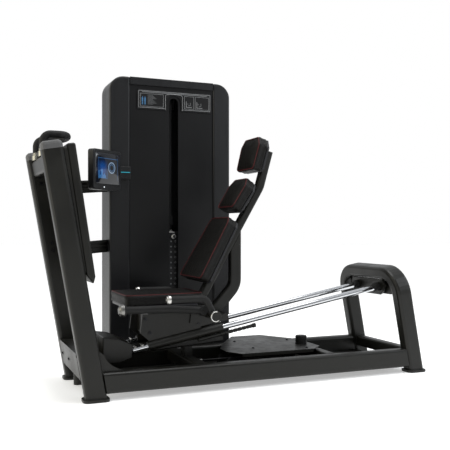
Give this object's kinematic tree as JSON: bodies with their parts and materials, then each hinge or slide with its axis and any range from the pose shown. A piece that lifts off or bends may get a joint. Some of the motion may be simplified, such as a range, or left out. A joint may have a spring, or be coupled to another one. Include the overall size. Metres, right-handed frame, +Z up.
{
  "type": "leg press machine",
  "caption": "Seated leg press: padded seat carriage on inclined rods, leaning footplate frame, rear arch and a covered weight stack with a display.",
  "frame": {"origin": "centre of the footprint, on the floor", "axes": "+X from the footplate end to the rear arch, +Y from the seat side to the weight stack tower, +Z up"},
  "size_m": [2.008, 0.905, 1.596],
  "materials": {
    "black_leather": "soft grained",
    "black_rubber": "matt",
    "charcoal_paint": "satin powder coat",
    "charcoal_plastic": "fine texture",
    "chrome_bar": "polished",
    "dark_steel": "satin",
    "satin_steel": "satin"
  },
  "bodies": {
    "base": {"base_bumper": "black_rubber", "base_cover": "charcoal_paint", "base_cross_middle": "charcoal_paint", "base_cross_rear": "charcoal_paint", "display_bracket": "charcoal_plastic", "foot_frame_handle": "black_rubber", "foot_frame_low_tie": "charcoal_paint", "foot_frame_top_bar": "charcoal_paint", "footplate": "charcoal_paint", "guide_rod_far": "chrome_bar", "guide_rod_near": "chrome_bar", "instruction_placard": "charcoal_plastic", "lift_belt": "black_rubber", "pulley_carrier": "dark_steel", "rail_far": "charcoal_paint", "rail_near": "charcoal_paint", "rear_arch": "charcoal_paint", "return_belt": "black_rubber", "rod_bracket": "charcoal_paint", "rod_bumper_far": "black_rubber", "rod_bumper_near": "black_rubber", "rod_mount_front": "charcoal_paint", "spine_channel": "charcoal_paint", "stack_guide_left": "chrome_bar", "stack_guide_right": "chrome_bar", "tie_bar_lower": "charcoal_paint", "tie_bar_upper": "charcoal_paint", "tower_back_and_top": "charcoal_plastic", "tower_cover_left": "charcoal_plastic", "tower_cover_right": "charcoal_plastic", "tower_floor": "dark_steel", "tower_front_panel": "charcoal_plastic", "upright_cap_far": "charcoal_plastic", "upright_cap_near": "charcoal_plastic", "upright_far": "charcoal_paint", "upright_near": "charcoal_paint", "weight_plates": "dark_steel"},
    "carriage": {"adjusting_rack": "dark_steel", "back_board": "charcoal_plastic", "back_pad": "black_leather", "back_spine": "charcoal_paint", "back_support": "charcoal_paint", "bearing_housing_far": "charcoal_paint", "bearing_housing_near": "charcoal_paint", "carriage_body": "charcoal_paint", "grip_far": "black_rubber", "grip_near": "black_rubber", "grip_shaft": "charcoal_paint", "head_board": "charcoal_plastic", "head_pad": "black_leather", "middle_board": "charcoal_plastic", "middle_pad": "black_leather", "seat_pad": "black_leather", "seat_pan": "charcoal_plastic"},
    "lever": {"release_lever": "black_rubber"},
    "stack": {"stack_top_plate": "dark_steel", "selector_stem": "chrome_bar"},
    "pin": {"selector_pin": "satin_steel"},
    "top_pulley": {"top_pulley": "charcoal_paint"},
    "display": {"display_body": "charcoal_plastic"}
  },
  "joints": [
    {"name": "carriage_slide", "type": "slide", "parent": "base", "child": "carriage", "axis": [0.9829, 0, 0.1839], "range_m": [0, 0.55]},
    {"name": "stack_lift", "type": "slide", "parent": "base", "child": "stack", "axis": [0, 0, 1], "range_m": [0, 0.551], "deforming": ["lift_belt"]},
    {"name": "top_pulley_spin", "type": "hinge", "parent": "base", "child": "top_pulley", "pos_m": [-0.18196, 0.389, 1.475], "axis": [-1, 0, 0], "range_deg": [0, 720]},
    {"name": "selector_pin_pull", "type": "slide", "parent": "stack", "child": "pin", "axis": [0, -1, 0], "range_m": [0, 0.05]},
    {"name": "release_lever_lift", "type": "hinge", "parent": "carriage", "child": "lever", "pos_m": [-0.24096, -0.3615, 0.372], "axis": [0, 1, 0], "range_deg": [0, 12]},
    {"name": "display_swivel", "type": "hinge", "parent": "base", "child": "display", "pos_m": [-0.55327, 0.20739, 1.066], "axis": [0, 0, 1], "range_deg": [-20, 20]}
  ],
  "couplings": [
    {"joint": "stack_lift", "follows": "carriage_slide", "ratio": 1},
    {"joint": "top_pulley_spin", "follows": "carriage_slide", "rad_per_m": 19.417}
  ]
}
